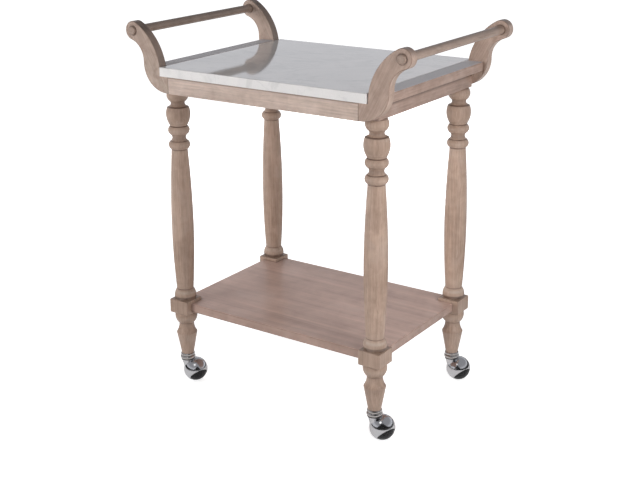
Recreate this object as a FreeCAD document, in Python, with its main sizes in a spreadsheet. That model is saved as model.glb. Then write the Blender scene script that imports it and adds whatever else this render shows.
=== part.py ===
import FreeCAD, Part
import math
import operator
import os

import Sketcher

# Bar cart: a marble slab in a limed wood frame with scrolled arms, turned legs, a lower shelf and
# four ball casters. Millimetres, +Z up, origin on the floor under the middle of the cart.
# +X points along the cart to its right end and -Y to its front.

SIZES = {
    # Heights above the floor
    "top_height": 760,
    "shelf_height": 202.5,
    "caster_height": 70,
    # Marble slab
    "marble_length": 526,
    "marble_depth": 449,
    "marble_thick": 20,
    "marble_gap": 0.5,
    "marble_ease": 1.5,
    # Frame under the slab
    "rail_setback": 3.5,
    "rail_height": 37.5,
    "rail_thick": 21,
    "apron_thick": 35,
    "board_width": 37.5,
    "board_ease": 1.5,
    "batten_width": 60,
    "batten_thick": 20,
    "batten_housing": 8,
    "corner_block_leg": 46,
    "corner_block_nose": 8,
    "corner_block_height": 28,
    # Scrolled arms and handle bars
    "arm_thick": 22,
    "arm_ledge": 20,
    "arm_waist": 48.5,
    "arm_heel": 62,
    "arm_waist_rise": 9,
    "arm_ease": 2,
    "scroll_reach": 76,
    "scroll_rise": 73.2,
    "scroll_radius": 20.8,
    "handle_diameter": 19,
    "handle_proud": 5,
    "handle_ease": 2.5,
    # Turned legs: places, square block, radii and the lengths of the turnings
    "leg_inset_x": 5.25,
    "leg_inset_y": 24.6,
    "block_side": 52.7,
    "block_lip": 6.5,
    "block_ease": 1.5,
    "block_round_radius": 24,
    "leg_top_radius": 20.5,
    "ring_radius": 24.5,
    "cove_radius": 15.6,
    "waist_radius": 19.3,
    "shoulder_radius": 24.3,
    "bulb_radius": 27.4,
    "bulb_foot_radius": 22.5,
    "column_neck_radius": 18.5,
    "column_radius": 25.2,
    "column_foot_radius": 19.4,
    "low_ring_radius": 25.1,
    "foot_ring_radius": 25.8,
    "foot_neck_radius": 17.2,
    "foot_radius": 24,
    "foot_tip_radius": 13.9,
    "top_ring_length": 24,
    "top_cove_length": 12,
    "shoulder_length": 2.5,
    "bulb_length": 36,
    "bulb_foot_length": 6.5,
    "ring_length": 19.5,
    "cove_length": 14.5,
    "column_neck_length": 2,
    "column_belly_rise": 154,
    "column_foot_length": 2,
    "low_ring_length": 25,
    "foot_ring_length": 27.5,
    "foot_flare_length": 24,
    # Lower shelf
    "shelf_thick": 20,
    "shelf_setback": 14,
    "shelf_ease": 2,
    # Joinery: dowel pins, hanger bolts and their inserts
    "pin_diameter": 8,
    "pin_depth": 18,
    "shelf_pin_depth": 12,
    "pin_web": 1,
    "fit_gap": 0.05,
    "press_gap": 0.01,
    "bolt_diameter": 8,
    "bolt_depth": 38,
    "insert_diameter": 12,
    "insert_length": 14,
    # Ball casters
    "caster_turn": 36,
    "caster_trail": 17,
    "axle_heading": -55.3,
    "axle_dip": 41.3,
    "wheel_radius": 27.4,
    "wheel_rim": 17.5,
    "wheel_hub_radius": 9,
    "wheel_hub_length": 24.6,
    "hood_radius": 28.2,
    "hood_wall": 1.8,
    "hood_floor_gap": 2,
    "parting_gap": 0.6,
    "axle_boss_radius": 7,
    "axle_boss_sink": 1.3,
    "axle_diameter": 6,
    "axle_cover": 7,
    "hub_gap": 0.4,
    "neck_top_radius": 16,
    "neck_foot_radius": 10,
    "stem_diameter": 9.5,
    "stem_top_gap": 2,
    "stem_sink": 9,
    "sleeve_wall": 0.75,
    "sleeve_length": 38,
    "collar_gap": 1.4,
    "collar_radius": 17.6,
    "collar_rim_radius": 16.4,
    "collar_groove_radius": 15.1,
    "collar_groove_rise": 8,
    "collar_rim_height": 1.5,
    "foot_seat_gap": 0.6,
    "washer_radius": 11.5,
    "washer_height": 1.5,
    "swivel_gap": 0.3,
}

RIGHT, LEFT = 1, -1
BACK, FRONT = 1, -1
CORNERS = {
    "front_left": (LEFT, FRONT),
    "front_right": (RIGHT, FRONT),
    "back_left": (LEFT, BACK),
    "back_right": (RIGHT, BACK),
}
ENDS = {"left": LEFT, "right": RIGHT}
SIDES = {"front": FRONT, "back": BACK}
HALF_ROOT = math.sqrt(0.5)
SAME = 1e-6

# Shares that shape the turnings: how much of a column's swell, and of a flare, is reached half way along
# it, and how far up the bulb, the ring over the block and the ring under it are fullest
SWELL_SHARE = 0.73
FLARE_SHARE = 0.2
BULB_CROWN = 0.53
LOW_RING_CROWN = 0.42
FOOT_RING_CROWN = 0.64

doc = FreeCAD.newDocument("bar_cart")
sheet = doc.addObject("Spreadsheet::Sheet", "Sizes")


class Size:
    """A number together with the formula that works it out from the sheet's cells."""

    SIGNS = {"+": operator.add, "-": operator.sub, "*": operator.mul, "/": operator.truediv}

    def __init__(self, value, formula):
        self.value = value
        self.formula = formula

    @classmethod
    def of(cls, number):
        return number if isinstance(number, cls) else cls(float(number), repr(float(number)))

    @classmethod
    def joined(cls, first, sign, second):
        first, second = cls.of(first), cls.of(second)
        value = cls.SIGNS[sign](first.value, second.value)
        return cls(value, f"({first.formula} {sign} {second.formula})")

    def __add__(self, other):
        return Size.joined(self, "+", other)

    def __radd__(self, other):
        return Size.joined(other, "+", self)

    def __sub__(self, other):
        return Size.joined(self, "-", other)

    def __rsub__(self, other):
        return Size.joined(other, "-", self)

    def __mul__(self, other):
        return Size.joined(self, "*", other)

    def __rmul__(self, other):
        return Size.joined(other, "*", self)

    def __truediv__(self, other):
        return Size.joined(self, "/", other)

    def __neg__(self):
        return Size.joined(-1, "*", self)

    def root(self):
        return Size(math.sqrt(self.value), f"sqrt({self.formula})")


def fill_sheet():
    """Writes each driving size to a cell with its own alias, and returns them as Size values."""
    sizes = {}
    for row, (name, number) in enumerate(SIZES.items(), start=1):
        sheet.set(f"A{row}", name)
        sheet.set(f"B{row}", str(number))
        sheet.setAlias(f"B{row}", name)
        sizes[name] = Size(float(number), f"Sizes.{name}")
    doc.recompute()
    return sizes


size = fill_sheet()

# Places that several pieces share
seat_height = size["top_height"] - size["marble_thick"]
frame_bottom = seat_height - size["rail_height"]
end_x = size["marble_length"] / 2 + size["marble_gap"]
seam_x = end_x - size["arm_ledge"]
face_y = size["marble_depth"] / 2 - size["rail_setback"]
arm_inner_y = face_y - size["arm_thick"]
rail_inner_y = face_y - size["rail_thick"]
leg_x = end_x - size["leg_inset_x"]
leg_y = arm_inner_y - size["leg_inset_y"]
apron_inner_x = leg_x - size["apron_thick"] / 2
scroll_x = end_x + size["scroll_reach"]
scroll_z = size["top_height"] + size["scroll_rise"]
shelf_bottom = size["shelf_height"] - size["shelf_thick"]
block_top = size["shelf_height"] + size["block_lip"]
block_bottom = shelf_bottom - size["block_lip"]
shelf_half_x = leg_x + size["block_side"] / 2 - size["shelf_setback"]
shelf_half_y = leg_y + size["block_side"] / 2 - size["shelf_setback"]
notch_x = leg_x - size["block_side"] / 2
notch_y = leg_y - size["block_side"] / 2
pin_radius = size["pin_diameter"] / 2
pin_hole_radius = pin_radius + size["fit_gap"]

nodes = []


# Small helpers

def bind(thing, **amounts):
    """Binds a feature's named sizes to the sheet."""
    for name, amount in amounts.items():
        thing.setExpression(name, Size.of(amount).formula)
    return thing


def place(thing, x=0, y=0, z=0, rotation=None):
    """Sets a piece's turn, and binds its position to the sheet."""
    if rotation is not None:
        thing.Placement = FreeCAD.Placement(FreeCAD.Vector(), rotation)
    for axis, amount in zip("xyz", (x, y, z)):
        thing.setExpression(f"Placement.Base.{axis}", Size.of(amount).formula)
    return thing


def node(thing, name):
    """Marks a finished object as a sub-part with its own name."""
    thing.Label = name
    nodes.append(thing)
    return thing


def vector(point):
    """Point in space, or in a sketch's own plane where only two coordinates are given."""
    return FreeCAD.Vector(*(Size.of(amount).value for amount in point))


def turn_about_z(degrees):
    return FreeCAD.Rotation(FreeCAD.Vector(0, 0, 1), degrees)


def turn_to(direction):
    return FreeCAD.Rotation(FreeCAD.Vector(0, 0, 1), FreeCAD.Vector(*direction))


def fix_point(sketch, corner, point):
    """Binds both coordinates of a sketch point to the sheet."""
    for kind, axis, amount in (("DistanceX", -2, point[0]), ("DistanceY", -1, point[1])):
        amount = Size.of(amount)
        if abs(amount.value) < SAME:
            sketch.addConstraint(Sketcher.Constraint("PointOnObject", *corner, axis))
            continue
        if amount.value < 0:
            amount = -amount
            ends = (*corner, -1, 1)
        else:
            ends = (-1, 1, *corner)
        index = sketch.addConstraint(Sketcher.Constraint(kind, *ends, amount.value))
        sketch.setExpression(f"Constraints[{index}]", amount.formula)


def outline(body, name, plane, start, *steps):
    """Sketch on a body's own plane, closed by a straight line. A step is a corner (u, v), reached by a
    straight line, or four values (through_u, through_v, u, v), reached by an arc through the first pair."""
    sketch = body.newObject("Sketcher::SketchObject", name)
    support = [feature for feature in body.Origin.OriginFeatures if feature.Role == plane]
    sketch.AttachmentSupport = (support[0], [""])
    sketch.MapMode = "FlatFace"
    runs = []
    here = start
    for step in (*steps, start):
        there = step[-2:]
        if len(step) == 4:
            through = step[:2]
            edge = sketch.addGeometry(Part.Arc(vector(here), vector(through), vector(there)))
            mark = sketch.addGeometry(Part.Point(vector(through)), True)
            fix_point(sketch, (mark, 1), through)
            sketch.addConstraint(Sketcher.Constraint("PointOnObject", mark, 1, edge))
        else:
            edge = sketch.addGeometry(Part.LineSegment(vector(here), vector(there)))
        forward = sketch.getPoint(edge, 1).isEqual(vector(here), SAME)
        runs.append(((edge, 1), (edge, 2)) if forward else ((edge, 2), (edge, 1)))
        fix_point(sketch, runs[-1][1], there)
        here = there
    for run, following in zip(runs, runs[1:] + runs[:1]):
        sketch.addConstraint(Sketcher.Constraint("Coincident", *run[1], *following[0]))
    return sketch


def pad(body, sketch, length, symmetric=False):
    feature = body.newObject("PartDesign::Pad", f"{body.Name}_pad")
    feature.Profile = sketch
    feature.SideType = "Symmetric" if symmetric else "One side"
    bind(feature, Length=length)
    return feature


def revolve(body, sketch):
    feature = body.newObject("PartDesign::Revolution", f"{body.Name}_turning")
    feature.Profile = sketch
    feature.ReferenceAxis = (sketch, ["V_Axis"])
    feature.Angle = 360
    return feature


def ease(body, feature, kind, amount, chosen):
    """Rounds or chamfers the feature's edges that the test picks."""
    doc.recompute()
    edges = [f"Edge{i}" for i, edge in enumerate(feature.Shape.Edges, start=1) if chosen(edge)]
    dressed = body.newObject(f"PartDesign::{kind}", f"{body.Name}_ease_{len(body.Group)}")
    dressed.Base = (feature, edges)
    bind(dressed, **{"Radius" if kind == "Fillet" else "Size": amount})
    return dressed


def lies_at(axis, amount):
    """Test for an edge that lies in the plane where the axis has the given value."""
    level = Size.of(amount).value

    def test(edge):
        box = edge.BoundBox
        low, high = getattr(box, f"{axis}Min"), getattr(box, f"{axis}Max")
        return abs(low - level) < SAME and abs(high - level) < SAME

    return test


def box_body(name, length, depth, height):
    """Body of a plain board, centred on its own origin in plan and standing on it."""
    body = doc.addObject("PartDesign::Body", name)
    half_x, half_y = length / 2, depth / 2
    sketch = outline(body, f"{name}_plan", "XY_Plane", (-half_x, -half_y), (half_x, -half_y),
                     (half_x, half_y), (-half_x, half_y))
    return body, pad(body, sketch, height)


def rod(name, radius, length, start=None, direction=(0, 0, 1)):
    """Round bar that stands on its own origin, or runs from a start point along a direction."""
    bar = doc.addObject("Part::Cylinder", name)
    bind(bar, Radius=radius, Height=length)
    return bar if start is None else place(bar, *start, rotation=turn_to(direction))


def group(name, pieces):
    compound = doc.addObject("Part::Compound", name)
    compound.Links = pieces
    return compound


def cut(name, base, tools):
    """The base with the tools taken away."""
    result = doc.addObject("Part::Cut", name)
    result.Base = base
    result.Tool = group(f"{name}_holes", tools)
    return result


def fuse(name, pieces):
    result = doc.addObject("Part::MultiFuse", name)
    result.Shapes = pieces
    return result


class Pins:
    """Dowel pins in matching holes. Each piece that a pin enters is drilled along the same line."""

    def __init__(self):
        self.rods = {}
        self.lines = {}

    def add(self, family, owners, start, direction, length):
        """One pin, and the names of the pieces that it enters."""
        pins = self.rods.setdefault(family, [])
        pins.append(rod(f"{family}_{len(pins) + 1}", pin_radius, length, start, direction))
        for owner in owners:
            self.lines.setdefault(owner, []).append((start, direction, length))

    def holes(self, owner):
        """Drill tools for one piece, a little longer and wider than the pins."""
        slack = size["fit_gap"]
        tools = []
        for number, (start, direction, length) in enumerate(self.lines.get(owner, []), start=1):
            mouth = tuple(at - step * slack for at, step in zip(start, direction))
            tools.append(rod(f"{owner}_hole_{number}", pin_hole_radius, length + 2 * slack, mouth, direction))
        return tools


pins = Pins()


def plan_pins():
    """Sets out every dowel pin of the frame and of the shelf."""
    depth = size["pin_depth"]
    rail_y = face_y - size["rail_thick"] / 2
    rail_z = frame_bottom + size["rail_height"] / 2
    board_x = end_x + size["board_width"] / 2
    board_z = seat_height + size["marble_thick"] / 2
    shelf_z = shelf_bottom + size["shelf_thick"] / 2
    cross_y = arm_inner_y - depth
    cross_length = depth + size["arm_thick"] / 2
    shelf_length = depth + size["shelf_pin_depth"]
    # An apron's pin passes between the two of a rail's end, with a web of wood on each side
    offset = size["pin_diameter"] + size["pin_web"]
    for corner, (side_x, side_y) in CORNERS.items():
        side, end = corner.split("_")
        arm, leg = f"{corner}_scroll_arm", f"{corner}_leg"
        along_x, along_y = (side_x, 0, 0), (0, side_y, 0)
        for step in (-offset, offset):
            start = (side_x * (seam_x - depth), side_y * rail_y, rail_z + step)
            pins.add("rail_dowels", (f"{side}_rail", arm), start, along_x, 2 * depth)
            start = (side_x * (leg_x + step), side_y * cross_y, rail_z)
            pins.add("apron_dowels", (f"{end}_end_apron", arm), start, along_y, cross_length)
            start = (side_x * (board_x + step), side_y * cross_y, board_z)
            pins.add("end_board_dowels", (f"{end}_end_board", arm), start, along_y, cross_length)
        start = (side_x * (notch_x - depth), side_y * (notch_y + shelf_half_y) / 2, shelf_z)
        pins.add("shelf_dowels", ("lower_shelf", leg), start, along_x, shelf_length)
        start = (side_x * (notch_x + shelf_half_x) / 2, side_y * (notch_y - depth), shelf_z)
        pins.add("shelf_dowels", ("lower_shelf", leg), start, along_y, shelf_length)
    for family, rods in pins.rods.items():
        node(group(family, rods), family)


# Top: slab, rails, aprons, end boards, batten and glue blocks

def marble_top():
    body, slab = box_body("marble_top", size["marble_length"], size["marble_depth"], size["marble_thick"])
    ease(body, slab, "Fillet", size["marble_ease"], lies_at("Z", size["marble_thick"]))
    node(place(body, z=seat_height), "marble_top")


def rail(side, side_y):
    """Long rail between two arms, with a housing for the batten's end."""
    name = f"{side}_rail"
    body, _ = box_body(f"{name}_blank", 2 * seam_x, size["rail_thick"], size["rail_height"])
    place(body, y=side_y * (face_y - size["rail_thick"] / 2), z=frame_bottom)
    housing = doc.addObject("Part::Box", f"{name}_housing")
    bind(housing, Length=size["batten_width"], Width=2 * size["batten_housing"], Height=size["batten_thick"])
    place(housing, -size["batten_width"] / 2, side_y * rail_inner_y - size["batten_housing"],
          seat_height - size["batten_thick"])
    node(cut(name, body, [housing, *pins.holes(name)]), name)


def center_batten():
    body, _ = box_body("center_batten", size["batten_width"], 2 * (rail_inner_y + size["batten_housing"]),
                       size["batten_thick"])
    node(place(body, z=seat_height - size["batten_thick"]), "center_batten")


def end_apron(end, side_x):
    """Stout cross rail over a pair of legs, drilled for their bolts' inserts."""
    name = f"{end}_end_apron"
    body, _ = box_body(f"{name}_blank", size["apron_thick"], 2 * arm_inner_y, size["rail_height"])
    place(body, x=side_x * leg_x, z=frame_bottom)
    insert_radius = size["insert_diameter"] / 2 + size["fit_gap"]
    bores = [rod(f"{name}_insert_bore_{side}", insert_radius, size["insert_length"] + size["fit_gap"],
                 (side_x * leg_x, side_y * leg_y, frame_bottom)) for side, side_y in SIDES.items()]
    node(cut(name, body, [*bores, *pins.holes(name)]), name)


def end_board(end, side_x):
    """Flat board between two arms, level with the slab."""
    name = f"{end}_end_board"
    body, board = box_body(f"{name}_blank", size["board_width"], 2 * arm_inner_y, size["marble_thick"])
    outer = lies_at("X", side_x * size["board_width"] / 2)
    ease(body, board, "Fillet", size["board_ease"], lambda edge: outer(edge) and edge.BoundBox.ZLength < SAME)
    place(body, x=side_x * (end_x + size["board_width"] / 2), z=seat_height)
    node(cut(name, body, pins.holes(name)), name)


def corner_block(corner, side_x, side_y):
    """Triangular glue block in the angle between a rail and an apron."""
    body = doc.addObject("PartDesign::Body", f"{corner}_corner_block")
    leg, nose = size["corner_block_leg"], size["corner_block_nose"]
    plan = outline(body, f"{corner}_block_plan", "XY_Plane", (0, 0), (-leg, 0), (-leg, nose), (-nose, leg),
                   (0, leg))
    pad(body, plan, size["corner_block_height"])
    turns = {(RIGHT, FRONT): 0, (RIGHT, BACK): 90, (LEFT, BACK): 180, (LEFT, FRONT): 270}
    place(body, side_x * apron_inner_x, side_y * rail_inner_y,
          seat_height - size["rail_height"] / 2 - size["corner_block_height"] / 2,
          rotation=turn_about_z(turns[side_x, side_y]))
    node(body, f"{corner}_corner_block")


# Scrolled arms and handle bars

def arm_profile(body):
    """Side view of a right arm: a ledge under the slab, a heel, a waist and the scroll, in tangent arcs."""
    heel, scroll = size["arm_heel"], size["scroll_radius"]
    outer_x = end_x + size["arm_waist"]
    waist_z = size["top_height"] + size["arm_waist_rise"]
    heel_x, heel_z = outer_x - heel, frame_bottom + heel
    # Hollow under the scroll, tangent to the upright back edge and to the scroll
    run, rise = scroll_x - outer_x, scroll_z - waist_z
    hollow = (run * run + rise * rise - scroll * scroll) / (2 * (run + scroll))
    hollow_x = outer_x + hollow
    share = hollow / (hollow + scroll)
    throat = (hollow_x + (scroll_x - hollow_x) * share, waist_z + (scroll_z - waist_z) * share)
    # Long front curve, upright at the slab's seat and tangent to the scroll
    reach, lift = size["scroll_reach"], scroll_z - seat_height
    sweep = (reach * reach + lift * lift - scroll * scroll) / (2 * (reach - scroll))
    sweep_x = end_x + sweep
    share = scroll / (sweep - scroll)
    crown = (scroll_x + (scroll_x - sweep_x) * share, scroll_z + lift * share)
    # Points half way along the arcs
    hollow_mid = halfway((hollow_x, waist_z), hollow, (outer_x, waist_z), throat)
    sweep_mid = halfway((sweep_x, seat_height), sweep, crown, (end_x, seat_height))
    return outline(
        body, f"{body.Name}_profile", "XZ_Plane",
        (seam_x, frame_bottom),
        (heel_x, frame_bottom),
        (heel_x + heel * HALF_ROOT, heel_z - heel * HALF_ROOT, outer_x, heel_z),
        (outer_x, waist_z),
        (*hollow_mid, *throat),
        (scroll_x + scroll, scroll_z, *crown),
        (*sweep_mid, end_x, seat_height),
        (seam_x, seat_height),
    )


def halfway(center, radius, first, last):
    """Point of a circle half way between two of its points."""
    middle = [(a + b) / 2 - c for a, b, c in zip(first, last, center)]
    length = (middle[0] * middle[0] + middle[1] * middle[1]).root()
    return tuple(c + part * radius / length for c, part in zip(center, middle))


def scroll_arms():
    """Front right arm as a body, and its three mirror images, each drilled for the bar and its pins."""
    body = doc.addObject("PartDesign::Body", "arm_blank")
    sawn = pad(body, arm_profile(body), size["arm_thick"], symmetric=True)
    ease(body, sawn, "Fillet", size["arm_ease"],
         lambda edge: isinstance(edge.Curve, Part.Circle) and edge.BoundBox.YLength < SAME)
    middle_y = face_y - size["arm_thick"] / 2
    place(body, y=-middle_y)
    blanks = {(RIGHT, FRONT): body}
    for corner, source, normal in (
        ((LEFT, FRONT), (RIGHT, FRONT), (1, 0, 0)),
        ((RIGHT, BACK), (RIGHT, FRONT), (0, 1, 0)),
        ((LEFT, BACK), (LEFT, FRONT), (0, 1, 0)),
    ):
        mirrored = doc.addObject("Part::Mirroring", f"arm_blank_{len(blanks)}")
        mirrored.Source = blanks[source]
        mirrored.Normal = FreeCAD.Vector(*normal)
        blanks[corner] = mirrored
    for corner, (side_x, side_y) in CORNERS.items():
        name = f"{corner}_scroll_arm"
        eye_y = arm_inner_y - size["arm_thick"] / 2
        eye = rod(f"{name}_eye", size["handle_diameter"] / 2 + size["fit_gap"], 2 * size["arm_thick"],
                  (side_x * scroll_x, side_y * eye_y, scroll_z), (0, side_y, 0))
        node(cut(name, blanks[side_x, side_y], [eye, *pins.holes(name)]), name)


def handle_bar(end, side_x):
    """Round bar through two arms, with softened ends that stand proud of them."""
    body = doc.addObject("PartDesign::Body", f"{end}_handle_bar")
    radius, soft = size["handle_diameter"] / 2, size["handle_ease"]
    half = face_y + size["handle_proud"]
    inset = soft * (1 - HALF_ROOT)
    profile = outline(
        body, f"{end}_bar_profile", "XZ_Plane",
        (0, -half), (radius - soft, -half), (radius - inset, -half + inset, radius, -half + soft),
        (radius, half - soft), (radius - inset, half - inset, radius - soft, half), (0, half),
    )
    revolve(body, profile)
    place(body, side_x * scroll_x, 0, scroll_z, rotation=turn_to((0, 1, 0)))
    node(body, f"{end}_handle_bar")


# Legs and shelf

def leg_profile(body):
    """Half section of a turned leg, from the foot's tip up to the frame, in beads, coves and long curves."""
    ring, cove, waist = size["ring_radius"], size["cove_radius"], size["waist_radius"]
    belly, neck = size["column_radius"], size["column_neck_radius"]
    column_foot, block_round = size["column_foot_radius"], size["block_round_radius"]
    foot, foot_neck = size["foot_radius"], size["foot_neck_radius"]
    # Heights from the frame down
    top_ring_z = frame_bottom - size["top_ring_length"]
    top_cove_z = top_ring_z - size["top_cove_length"]
    shoulder_z = top_cove_z - size["shoulder_length"]
    bulb_z = shoulder_z - size["bulb_length"]
    bulb_crown_z = bulb_z + size["bulb_length"] * BULB_CROWN
    bulb_foot_z = bulb_z - size["bulb_foot_length"]
    upper_ring_z = bulb_foot_z - size["ring_length"]
    mid_cove_z = upper_ring_z - size["cove_length"]
    lower_ring_z = mid_cove_z - size["ring_length"]
    neck_z = lower_ring_z - size["column_neck_length"]
    # Heights from the block up and down
    low_ring_z = block_top + size["low_ring_length"]
    low_crown_z = block_top + size["low_ring_length"] * LOW_RING_CROWN
    column_foot_z = low_ring_z + size["column_foot_length"]
    belly_z = column_foot_z + size["column_belly_rise"]
    foot_ring_z = block_bottom - size["foot_ring_length"]
    foot_crown_z = foot_ring_z + size["foot_ring_length"] * FOOT_RING_CROWN
    foot_z = foot_ring_z - size["foot_flare_length"]
    # Radii half way along the column's two curves and the foot's flare
    upper_swell = neck + (belly - neck) * SWELL_SHARE
    lower_swell = column_foot + (belly - column_foot) * SWELL_SHARE
    flare = foot_neck + (foot - foot_neck) * FLARE_SHARE
    return outline(
        body, f"{body.Name}_profile", "XZ_Plane",
        (0, size["caster_height"]),
        (size["foot_tip_radius"], size["caster_height"]),
        (foot, foot_z),
        (flare, (foot_z + foot_ring_z) / 2, foot_neck, foot_ring_z),
        (size["foot_ring_radius"], foot_crown_z, block_round, block_bottom),
        (block_round, block_top),
        (size["low_ring_radius"], low_crown_z, column_foot, low_ring_z),
        (column_foot, column_foot_z),
        (lower_swell, (column_foot_z + belly_z) / 2, belly, belly_z),
        (upper_swell, (belly_z + neck_z) / 2, neck, neck_z),
        (neck, lower_ring_z),
        (ring, (lower_ring_z + mid_cove_z) / 2, waist, mid_cove_z),
        (cove, (mid_cove_z + upper_ring_z) / 2, waist, upper_ring_z),
        (ring, (upper_ring_z + bulb_foot_z) / 2, waist, bulb_foot_z),
        (size["bulb_foot_radius"], bulb_z),
        (size["bulb_radius"], bulb_crown_z, size["shoulder_radius"], shoulder_z),
        (waist, top_cove_z),
        (cove, (top_cove_z + top_ring_z) / 2, waist, top_ring_z),
        (ring, (top_ring_z + frame_bottom) / 2, size["leg_top_radius"], frame_bottom),
        (0, frame_bottom),
    )


def leg(corner, side_x, side_y):
    """Turned leg with its square block, bored for the bolt above and the caster's sleeve below."""
    name = f"{corner}_leg"
    body = doc.addObject("PartDesign::Body", f"{name}_blank")
    revolve(body, leg_profile(body))
    place(body, side_x * leg_x, side_y * leg_y)
    side = size["block_side"]
    block, square = box_body(f"{name}_block", side, side, block_top - block_bottom)
    ease(block, square, "Chamfer", size["block_ease"], lambda edge: True)
    place(block, side_x * leg_x, side_y * leg_y, block_bottom)
    slack = size["fit_gap"]
    bolt_bore = rod(f"{name}_bolt_bore", size["bolt_diameter"] / 2 + slack, size["bolt_depth"] + slack,
                    (side_x * leg_x, side_y * leg_y, frame_bottom), (0, 0, -1))
    sleeve_bore = rod(f"{name}_sleeve_bore", sleeve_radius() + slack, size["sleeve_length"] + slack,
                      (side_x * leg_x, side_y * leg_y, size["caster_height"]))
    solid = fuse(f"{name}_solid", [body, block])
    node(cut(name, solid, [bolt_bore, sleeve_bore, *pins.holes(name)]), name)


def leg_fixings():
    """Hanger bolts that stand in the legs, and the inserts in the aprons that they screw into."""
    bolts, inserts = [], []
    for corner, (side_x, side_y) in CORNERS.items():
        x, y = side_x * leg_x, side_y * leg_y
        radius, long = size["bolt_diameter"] / 2, size["insert_length"]
        bolts.append(rod(f"{corner}_bolt", radius, size["bolt_depth"] + long,
                         (x, y, frame_bottom - size["bolt_depth"])))
        shell = rod(f"{corner}_insert_blank", size["insert_diameter"] / 2, long, (x, y, frame_bottom))
        bore = rod(f"{corner}_insert_thread", radius + size["fit_gap"], long, (x, y, frame_bottom))
        inserts.append(cut(f"{corner}_insert", shell, [bore]))
    node(group("leg_hanger_bolts", bolts), "leg_hanger_bolts")
    node(group("leg_thread_inserts", inserts), "leg_thread_inserts")


def lower_shelf():
    """Board with its corners notched round the leg blocks."""
    body = doc.addObject("PartDesign::Body", "lower_shelf_blank")
    x, y, cut_x, cut_y = shelf_half_x, shelf_half_y, notch_x, notch_y
    plan = outline(body, "shelf_plan", "XY_Plane", (-cut_x, -y), (cut_x, -y), (cut_x, -cut_y), (x, -cut_y),
                   (x, cut_y), (cut_x, cut_y), (cut_x, y), (-cut_x, y), (-cut_x, cut_y), (-x, cut_y),
                   (-x, -cut_y), (-cut_x, -cut_y))
    board = pad(body, plan, size["shelf_thick"])
    sides = [lies_at("X", x), lies_at("X", -x), lies_at("Y", y), lies_at("Y", -y)]
    ease(body, board, "Fillet", size["shelf_ease"],
         lambda edge: edge.BoundBox.ZLength < SAME and any(test(edge) for test in sides))
    place(body, z=shelf_bottom)
    node(cut("lower_shelf", body, pins.holes("lower_shelf")), "lower_shelf")


# Ball casters, each drawn about its own swivel axis with the ball trailing along +X

def sleeve_radius():
    return size["stem_diameter"] / 2 + size["fit_gap"] + size["sleeve_wall"]


def collar_bottom():
    """Underside of the collar, just clear of the ball's top."""
    return size["wheel_radius"] + size["hood_radius"] + size["collar_gap"]


def washer_bottom():
    return collar_bottom() - size["washer_height"]


def neck_top():
    return washer_bottom() - size["swivel_gap"]


def axle_direction():
    """Unit vector along the axle, from the ball's middle out through the wheel."""
    heading = math.radians(size["axle_heading"].value)
    dip = math.radians(size["axle_dip"].value)
    level = math.cos(dip)
    return FreeCAD.Vector(level * math.cos(heading), level * math.sin(heading), -math.sin(dip))


def swivel_frame(side_x, side_y):
    """Placement of a caster: its swivel axis on the leg, turned as it stands."""
    spot = vector((side_x * leg_x, side_y * leg_y, 0))
    return FreeCAD.Placement(spot, turn_about_z(size["caster_turn"].value))


def axle_frame():
    """Placement of the ball's middle within a caster, with +Z along the axle."""
    middle = vector((size["caster_trail"], 0, size["wheel_radius"]))
    return FreeCAD.Placement(middle, FreeCAD.Rotation(FreeCAD.Vector(0, 0, 1), axle_direction()))


def along_axle(bar, start):
    """Moves a round bar onto the axle's line, from a distance along it."""
    shift = FreeCAD.Placement(vector((0, 0, start)), FreeCAD.Rotation())
    bar.Placement = axle_frame() * shift
    return bar


def ball(name, radius):
    sphere = doc.addObject("Part::Sphere", name)
    bind(sphere, Radius=radius)
    return place(sphere, size["caster_trail"], 0, size["wheel_radius"])


def boss_start():
    """Inner end of the axle's boss, just behind the wheel's hub."""
    return size["wheel_rim"] - size["wheel_hub_length"] - size["hub_gap"]


def caster_socket(name, frame):
    """Sleeve in the foot with a collar of two rounded rings under it and a thrust washer below that."""
    body = doc.addObject("PartDesign::Body", name)
    bore = size["stem_diameter"] / 2 + size["fit_gap"]
    seat, rim_top = size["caster_height"], size["caster_height"] + size["collar_rim_height"]
    low, groove = collar_bottom(), size["collar_groove_radius"]
    groove_z = low + size["collar_groove_rise"]
    cup = size["foot_tip_radius"] + size["foot_seat_gap"]
    profile = outline(
        body, f"{name}_profile", "XZ_Plane",
        (bore, washer_bottom()),
        (size["washer_radius"], washer_bottom()),
        (size["washer_radius"], low),
        (groove, low),
        (size["collar_radius"], (low + groove_z) / 2, groove, groove_z),
        (size["collar_rim_radius"], (groove_z + rim_top) / 2, groove, rim_top),
        (cup, rim_top),
        (cup, seat),
        (sleeve_radius(), seat),
        (sleeve_radius(), seat + size["sleeve_length"]),
        (bore, seat + size["sleeve_length"]),
    )
    revolve(body, profile)
    body.Placement = frame
    node(body, name)


def caster_stem(name, frame):
    """Pin that is fast in the hood's neck and turns in the sleeve."""
    foot = neck_top() - size["stem_sink"]
    length = size["caster_height"] + size["sleeve_length"] - size["stem_top_gap"] - foot
    pin = rod(name, size["stem_diameter"] / 2, length)
    pin.Placement = frame * FreeCAD.Placement(vector((0, 0, foot)), FreeCAD.Rotation())
    node(pin, name)


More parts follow.
